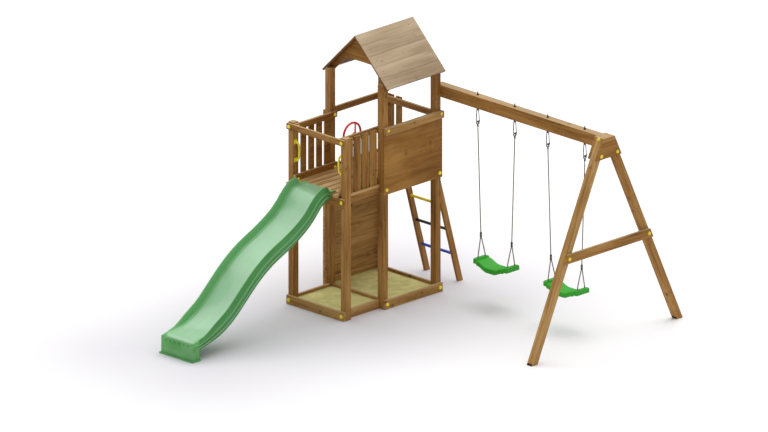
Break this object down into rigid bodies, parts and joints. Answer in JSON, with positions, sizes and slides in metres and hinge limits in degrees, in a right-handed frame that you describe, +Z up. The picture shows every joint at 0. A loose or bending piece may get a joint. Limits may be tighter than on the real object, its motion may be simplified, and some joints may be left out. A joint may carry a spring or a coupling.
{
  "type": "play tower with slide and swing",
  "caption": "Wooden garden play tower with a gabled roof, a moulded wavy slide, a ladder, a climbing wall, a steering wheel and swings on a braced beam.",
  "frame": {"origin": "on the ground under the middle of the divider board, midway between the two middle posts of the tower", "axes": "+X along the swing beam away from the tower, +Y from the slide to the ladder, +Z up"},
  "size_m": [3.0636, 4.2556, 2.661],
  "materials": {
    "timber": "stained and oiled",
    "roof_timber": "weathered",
    "slide_green": "moulded, slightly worn",
    "seat_green": "moulded",
    "yellow": "moulded",
    "red": "moulded",
    "blue": "smooth",
    "black": "smooth",
    "steel": "zinc plated",
    "rope": "twisted cord",
    "sand": "loose sand"
  },
  "bodies": {
    "tower": {"apex_plate_inner": "timber", "apex_plate_outer": "timber", "base_board_front": "timber", "base_board_left": "timber", "base_board_rear": "timber", "base_board_right_front": "timber", "base_board_right_rear": "timber", "base_divider": "timber", "climbing_wall": "timber", "cross_brace": "timber", "deck": "timber", "eyebolt_1_left": "steel", "eyebolt_1_right": "steel", "eyebolt_2_left": "steel", "eyebolt_2_right": "steel", "front_rail": "timber", "gable_front": "timber", "gable_rear": "timber", "grab_handle_left": "yellow", "grab_handle_right": "yellow", "ladder_rung_1": "blue", "ladder_rung_2": "black", "ladder_rung_3": "yellow", "ladder_rung_4": "red", "ladder_stile_left": "timber", "ladder_stile_right": "timber", "left_rear_rail": "timber", "post_front_left": "timber", "post_front_right": "timber", "post_mid_left": "timber", "post_mid_right": "timber", "post_rear_left": "timber", "post_rear_right": "timber", "rear_railing": "timber", "roof_slope_left": "roof_timber", "roof_slope_right": "roof_timber", "sand_front": "sand", "sand_rear": "sand", "side_panel": "timber", "slat_panel_left": "timber", "slat_panel_right": "timber", "slide": "slide_green", "swing_beam": "timber", "swing_leg_front": "timber", "swing_leg_rear": "timber"},
    "swing_1": {"rope_1_left": "rope", "rope_1_right": "rope", "snap_hook_1_left": "steel", "snap_hook_1_right": "steel", "swing_seat_1": "seat_green"},
    "swing_2": {"rope_2_left": "rope", "rope_2_right": "rope", "snap_hook_2_left": "steel", "snap_hook_2_right": "steel", "swing_seat_2": "seat_green"},
    "wheel": {"steering_wheel": "red"},
    "gate_1_left": {"hook_gate_1_left": "steel"},
    "gate_1_right": {"hook_gate_1_right": "steel"},
    "gate_2_left": {"hook_gate_2_left": "steel"},
    "gate_2_right": {"hook_gate_2_right": "steel"}
  },
  "joints": [
    {"name": "swing_1_hang", "type": "hinge", "parent": "tower", "child": "swing_1", "pos_m": [1.0875, 0.7953, 1.9243], "axis": [1, 0, 0], "range_deg": [-60, 60]},
    {"name": "swing_2_hang", "type": "hinge", "parent": "tower", "child": "swing_2", "pos_m": [2.0275, 0.7953, 1.9243], "axis": [1, 0, 0], "range_deg": [-60, 60]},
    {"name": "wheel_turn", "type": "hinge", "parent": "tower", "child": "wheel", "pos_m": [0.2884, -0.295, 1.79], "axis": [1, 0, 0], "continuous": true},
    {"name": "gate_1_left_open", "type": "hinge", "parent": "swing_1", "child": "gate_1_left", "pos_m": [0.85967, 0.7953, 1.81483], "axis": [0, -1, 0], "range_deg": [0, 12], "stiffness_Nm_per_rad": 0.004, "springref_deg": -8.59},
    {"name": "gate_1_right_open", "type": "hinge", "parent": "swing_1", "child": "gate_1_right", "pos_m": [1.35667, 0.7953, 1.81483], "axis": [0, -1, 0], "range_deg": [0, 12], "stiffness_Nm_per_rad": 0.004, "springref_deg": -8.59},
    {"name": "gate_2_left_open", "type": "hinge", "parent": "swing_2", "child": "gate_2_left", "pos_m": [1.79967, 0.7953, 1.81483], "axis": [0, -1, 0], "range_deg": [0, 12], "stiffness_Nm_per_rad": 0.004, "springref_deg": -8.59},
    {"name": "gate_2_right_open", "type": "hinge", "parent": "swing_2", "child": "gate_2_right", "pos_m": [2.29666, 0.7953, 1.81483], "axis": [0, -1, 0], "range_deg": [0, 12], "stiffness_Nm_per_rad": 0.004, "springref_deg": -8.59}
  ]
}
